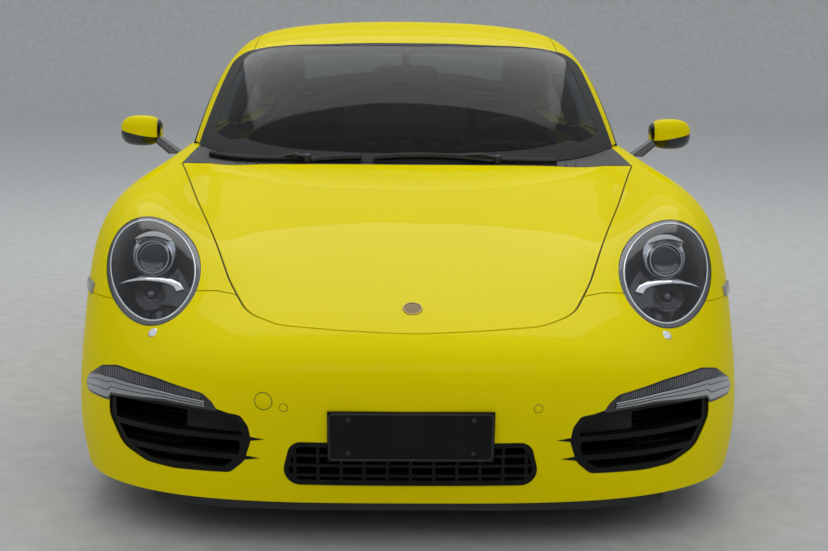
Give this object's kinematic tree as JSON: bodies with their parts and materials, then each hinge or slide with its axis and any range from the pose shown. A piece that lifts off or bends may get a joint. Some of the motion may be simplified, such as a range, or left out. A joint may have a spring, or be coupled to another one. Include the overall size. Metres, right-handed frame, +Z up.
{
  "type": "coupe car",
  "caption": "Two-door rear-engined sports coupe with rolling wheels, linked front steering and opening doors, bonnet and engine lid.",
  "frame": {"origin": "centre of the overall box, at the ground", "axes": "+Z up, nose towards -Y, +X to the car's left"},
  "size_m": [1.978, 4.491, 1.3023],
  "materials": {
    "paint": "gloss",
    "black_plastic": "satin",
    "gloss_black": "gloss",
    "glass": "clear",
    "lamp": "clear",
    "red_lamp": "gloss",
    "structure": "satin",
    "iron": "turned",
    "alloy": "satin",
    "tyre": "matt",
    "leather": "grained",
    "steel": "polished"
  },
  "bodies": {
    "body": {"front_bumper": "paint", "wing_left": "paint", "wing_right": "paint", "cowl": "black_plastic", "windscreen": "glass", "roof_panel": "paint", "rear_window": "glass", "pillars_left": "paint", "pillars_right": "paint", "rear_wing_left": "paint", "rear_wing_right": "paint", "sills": "paint", "quarter_windows": "glass", "rear_bumper": "paint", "headlamps": "gloss_black", "lamp_covers": "lamp", "running_lamps": "lamp", "side_grilles": "black_plastic", "centre_grille": "black_plastic", "front_plate": "gloss_black", "front_lip": "black_plastic", "tail_lamps": "red_lamp", "platform": "structure", "luggage_tub": "black_plastic", "engine": "iron", "exhaust": "steel", "front_liners": "black_plastic", "rear_liners": "black_plastic", "seats": "leather", "rear_seats": "leather", "dashboard": "leather", "console": "leather", "interior_mirror": "black_plastic", "front_suspension": "structure", "rear_suspension": "structure"},
    "bonnet": {"front_lid": "paint"},
    "engine_lid": {"rear_lid": "paint", "rear_grille": "black_plastic"},
    "left_door": {"door_left": "paint", "door_glass_left": "glass", "mirror_left": "paint"},
    "right_door": {"door_right": "paint", "door_glass_right": "glass", "mirror_right": "paint"},
    "steering": {"steering_wheel": "leather"},
    "left_knuckle": {"knuckle_left": "iron"},
    "right_knuckle": {"knuckle_right": "iron"},
    "wheel_front_left": {"rim_front_left": "alloy", "tyre_front_left": "tyre", "brake_disc_front_left": "iron"},
    "wheel_front_right": {"rim_front_right": "alloy", "tyre_front_right": "tyre", "brake_disc_front_right": "iron"},
    "wheel_rear_left": {"rim_rear_left": "alloy", "tyre_rear_left": "tyre", "brake_disc_rear_left": "iron"},
    "wheel_rear_right": {"rim_rear_right": "alloy", "tyre_rear_right": "tyre", "brake_disc_rear_right": "iron"}
  },
  "joints": [
    {"name": "bonnet_hinge", "type": "hinge", "parent": "body", "child": "bonnet", "pos_m": [0, -0.5855, 0.88], "axis": [-1, 0, 0], "range_deg": [0, 60]},
    {"name": "engine_lid_hinge", "type": "hinge", "parent": "body", "child": "engine_lid", "pos_m": [0, 1.5395, 1.068], "axis": [1, 0, 0], "range_deg": [0, 55]},
    {"name": "left_door_hinge", "type": "hinge", "parent": "body", "child": "left_door", "pos_m": [0.842, -0.5955, 0.5], "axis": [0, 0, -1], "range_deg": [0, 60]},
    {"name": "right_door_hinge", "type": "hinge", "parent": "body", "child": "right_door", "pos_m": [-0.842, -0.5955, 0.5], "axis": [0, 0, 1], "range_deg": [0, 60]},
    {"name": "steer_left", "type": "hinge", "parent": "body", "child": "left_knuckle", "pos_m": [0.6995, -1.2605, 0.34], "axis": [0, 0, 1], "range_deg": [-33, 33]},
    {"name": "steer_right", "type": "hinge", "parent": "body", "child": "right_knuckle", "pos_m": [-0.6995, -1.2605, 0.34], "axis": [0, 0, 1], "range_deg": [-33, 33]},
    {"name": "steering_column", "type": "hinge", "parent": "body", "child": "steering", "pos_m": [0.37, -0.2355, 0.78], "axis": [0, 0.9063, 0.4226], "range_deg": [-462, 462]},
    {"name": "roll_front_left", "type": "hinge", "parent": "left_knuckle", "child": "wheel_front_left", "pos_m": [0.7695, -1.2605, 0.34], "axis": [1, 0, 0], "continuous": true},
    {"name": "roll_front_right", "type": "hinge", "parent": "right_knuckle", "child": "wheel_front_right", "pos_m": [-0.7695, -1.2605, 0.34], "axis": [1, 0, 0], "continuous": true},
    {"name": "roll_rear_left", "type": "hinge", "parent": "body", "child": "wheel_rear_left", "pos_m": [0.7445, 1.1895, 0.3425], "axis": [1, 0, 0], "continuous": true},
    {"name": "roll_rear_right", "type": "hinge", "parent": "body", "child": "wheel_rear_right", "pos_m": [-0.7445, 1.1895, 0.3425], "axis": [1, 0, 0], "continuous": true}
  ],
  "couplings": [
    {"joint": "steer_right", "follows": "steer_left", "ratio": 1},
    {"joint": "steering_column", "follows": "steer_left", "ratio": 14}
  ]
}
